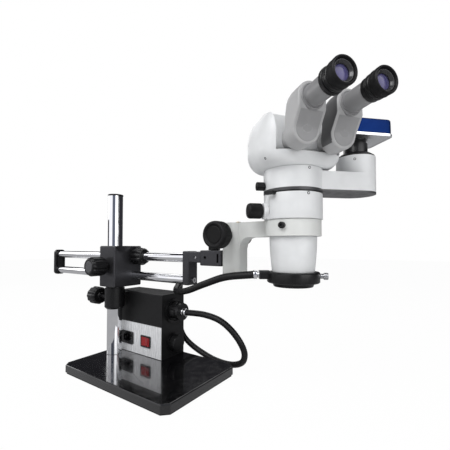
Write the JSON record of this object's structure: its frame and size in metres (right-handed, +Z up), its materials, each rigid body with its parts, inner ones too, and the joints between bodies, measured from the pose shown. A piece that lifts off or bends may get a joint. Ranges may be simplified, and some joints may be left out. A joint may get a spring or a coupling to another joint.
{
  "type": "stereo microscope",
  "caption": "Binocular zoom stereo microscope with a camera port and fibre-optic ring light, on a twin-rod boom stand with a weighted base.",
  "frame": {"origin": "on the axis of the post, at bench level under the base pad", "axes": "+Z up along the post, +X along the boom towards the microscope, -Y towards the user's side"},
  "size_m": [0.8894, 0.2687, 0.4721],
  "materials": {
    "pad_rubber": "matt",
    "chrome": "polished",
    "black_plastic": "satin",
    "zinc_steel": "plain",
    "case_black": "fine texture black paint",
    "panel_aluminium": "brushed",
    "socket_black": "gloss",
    "rocker_red": "translucent red",
    "lamp_metal": "cast",
    "anodised_black": "satin black anodised",
    "base_iron": "high gloss black paint over cast iron",
    "arm_white": "off-white powder coat",
    "pod_white": "off-white satin",
    "prism_grey": "satin grey",
    "glass": "polished",
    "coated_glass": "violet antireflection coating",
    "camera_silver": "satin",
    "camera_blue": "satin dark blue",
    "black_rubber": "matt",
    "hose_black": "satin jacket",
    "brass": "plain"
  },
  "bodies": {
    "stand": {"base_plate": "base_iron", "base_pad": "pad_rubber", "post": "chrome", "post_cap": "black_plastic", "post_bolt": "zinc_steel", "illuminator_case": "case_black", "illuminator_panel": "panel_aluminium", "inlet_socket": "socket_black", "switch_bezel": "socket_black", "light_port": "anodised_black", "lamp_module": "lamp_metal", "light_guide": "hose_black"},
    "rocker": {"power_rocker": "rocker_red"},
    "fan": {"cooling_fan": "black_plastic"},
    "dial": {"intensity_knob": "black_plastic"},
    "collar": {"safety_collar": "anodised_black"},
    "collar_clamp": {"collar_knob": "black_plastic"},
    "block": {"boom_block": "anodised_black"},
    "post_lock": {"post_lock_knob": "black_plastic"},
    "rod_lock": {"rod_lock_nut": "black_plastic"},
    "boom": {"boom_rods": "chrome", "rear_end_plate": "anodised_black", "front_bracket": "anodised_black", "boom_screws": "zinc_steel"},
    "adapter": {"swivel_adapter": "anodised_black", "focus_rail": "arm_white"},
    "adapter_lock": {"adapter_knob": "black_plastic"},
    "focus_drive": {"focus_pinion": "zinc_steel", "focus_knobs": "black_plastic"},
    "focus_arm": {"focus_body": "arm_white", "focus_rack": "brass", "ring_arm": "arm_white"},
    "ring_lock": {"ring_clamp_screw": "black_plastic"},
    "pod": {"zoom_housing": "pod_white", "objective_housing": "pod_white", "objective_lens": "glass", "ring_light_housing": "anodised_black", "dovetail_ring": "anodised_black"},
    "light_screw": {"ring_light_screw": "zinc_steel"},
    "zoom": {"zoom_knob": "black_plastic"},
    "zoom_cell": {"zoom_lens_group": "anodised_black"},
    "head_lock": {"head_lock_lever": "black_plastic"},
    "port": {"port_housing": "pod_white", "camera_adapter": "anodised_black", "camera_base": "camera_silver", "camera_cover": "camera_blue"},
    "selector": {"selector_slide": "black_plastic"},
    "head": {"head_shell": "pod_white"},
    "tilt": {"tilt_drum": "pod_white"},
    "eye_left": {"prism_housing_left": "prism_grey", "rhomboid_prism_left": "glass", "eyepiece_left": "black_plastic", "eyecup_left": "black_rubber", "eye_lens_left": "coated_glass"},
    "eye_right": {"prism_housing_right": "prism_grey", "rhomboid_prism_right": "glass", "eyepiece_right": "black_plastic", "eyecup_right": "black_rubber", "eye_lens_right": "coated_glass"},
    "diopter": {"diopter_ring_left": "black_plastic"}
  },
  "joints": [
    {"name": "power_switch", "type": "hinge", "parent": "stand", "child": "rocker", "pos_m": [0.077, 0.0282, 0.05], "axis": [0, 0, 1], "range_deg": [-8, 8]},
    {"name": "fan_spin", "type": "hinge", "parent": "stand", "child": "fan", "pos_m": [-0.0145, 0.06, 0.096], "axis": [1, 0, 0], "continuous": true},
    {"name": "brightness_dial", "type": "hinge", "parent": "stand", "child": "dial", "pos_m": [0.1355, 0.06, 0.049], "axis": [1, 0, 0], "range_deg": [-135, 135]},
    {"name": "height", "type": "slide", "parent": "stand", "child": "collar", "axis": [0, 0, 1], "range_m": [-0.01, 0.105], "deforming": ["light_guide"]},
    {"name": "collar_clamp_turn", "type": "hinge", "parent": "collar", "child": "collar_clamp", "pos_m": [-0.053, 0, 0.141], "axis": [-1, 0, 0], "range_deg": [0, 270]},
    {"name": "boom_swing", "type": "hinge", "parent": "collar", "child": "block", "pos_m": [0, 0, 0.2], "axis": [0, 0, 1], "range_deg": [-90, 90], "deforming": ["light_guide"]},
    {"name": "post_lock_turn", "type": "hinge", "parent": "block", "child": "post_lock", "pos_m": [0, -0.03, 0.21405], "axis": [0, -1, 0], "range_deg": [0, 270]},
    {"name": "rod_lock_turn", "type": "hinge", "parent": "block", "child": "rod_lock", "pos_m": [0.04, 0.034, 0.2346], "axis": [1, 0, 0], "range_deg": [0, 270]},
    {"name": "boom_slide", "type": "slide", "parent": "block", "child": "boom", "axis": [1, 0, 0], "range_m": [-0.11, 0.25], "deforming": ["light_guide"]},
    {"name": "arm_lean", "type": "hinge", "parent": "boom", "child": "adapter", "pos_m": [0.22, 0.034, 0.2365], "axis": [1, 0, 0], "range_deg": [-45, 45], "deforming": ["light_guide"]},
    {"name": "adapter_lock_turn", "type": "hinge", "parent": "adapter", "child": "adapter_lock", "pos_m": [0.256, 0.034, 0.25], "axis": [0, 0, 1], "range_deg": [0, 270]},
    {"name": "focus", "type": "slide", "parent": "adapter", "child": "focus_arm", "axis": [0, 0, 1], "range_m": [-0.025, 0.025], "deforming": ["light_guide"]},
    {"name": "focus_knob_turn", "type": "hinge", "parent": "adapter", "child": "focus_drive", "pos_m": [0.301, 0.033, 0.2766], "axis": [0, 1, 0], "range_deg": [-180, 180]},
    {"name": "ring_lock_turn", "type": "hinge", "parent": "focus_arm", "child": "ring_lock", "pos_m": [0.41354, -0.00797, 0.289], "axis": [0.0349, -0.9994, 0], "range_deg": [0, 270]},
    {"name": "pod_turn", "type": "hinge", "parent": "focus_arm", "child": "pod", "pos_m": [0.412, 0.036, 0.286], "axis": [0, 0, 1], "range_deg": [-90, 90], "deforming": ["light_guide"]},
    {"name": "light_screw_turn", "type": "hinge", "parent": "pod", "child": "light_screw", "pos_m": [0.45372, 0.05286, 0.2105], "axis": [0.9272, 0.3746, 0], "range_deg": [0, 270]},
    {"name": "zoom_turn", "type": "hinge", "parent": "pod", "child": "zoom", "pos_m": [0.412, 0.036, 0.313], "axis": [0.7071, 0.7071, 0], "range_deg": [-150, 150]},
    {"name": "zoom_cell_slide", "type": "slide", "parent": "pod", "child": "zoom_cell", "axis": [0, 0, 1], "range_m": [-0.0078, 0.0078]},
    {"name": "head_lock_turn", "type": "hinge", "parent": "pod", "child": "head_lock", "pos_m": [0.40161, -0.00902, 0.338], "axis": [-0.225, -0.9744, 0], "range_deg": [0, 90]},
    {"name": "port_turn", "type": "hinge", "parent": "pod", "child": "port", "pos_m": [0.412, 0.036, 0.341], "axis": [0, 0, 1], "range_deg": [-180, 180]},
    {"name": "path_selector", "type": "slide", "parent": "port", "child": "selector", "axis": [-0.7071, -0.7071, 0], "range_m": [0, 0.012]},
    {"name": "head_turn", "type": "hinge", "parent": "port", "child": "head", "pos_m": [0.412, 0.036, 0.3773], "axis": [0, 0, 1], "range_deg": [-40, 10]},
    {"name": "head_tilt", "type": "hinge", "parent": "head", "child": "tilt", "pos_m": [0.41524, 0.03365, 0.419], "axis": [0.5878, 0.809, 0], "range_deg": [-15, 0]},
    {"name": "eye_spacing_left", "type": "hinge", "parent": "tilt", "child": "eye_left", "pos_m": [0.43724, -0.01942, 0.413], "axis": [0.8085, -0.5874, 0.0349], "range_deg": [-10, 10]},
    {"name": "eye_spacing_right", "type": "hinge", "parent": "tilt", "child": "eye_right", "pos_m": [0.47251, 0.02912, 0.413], "axis": [0.8085, -0.5874, 0.0349], "range_deg": [-10, 10]},
    {"name": "diopter_turn", "type": "hinge", "parent": "eye_left", "child": "diopter", "pos_m": [0.50253, -0.06685, 0.45184], "axis": [0.8085, -0.5874, 0.0349], "range_deg": [-150, 150]}
  ],
  "couplings": [
    {"joint": "focus_knob_turn", "follows": "focus", "rad_per_m": -125},
    {"joint": "zoom_turn", "follows": "zoom_cell_slide", "rad_per_m": 333},
    {"joint": "eye_spacing_right", "follows": "eye_spacing_left", "ratio": -1}
  ]
}
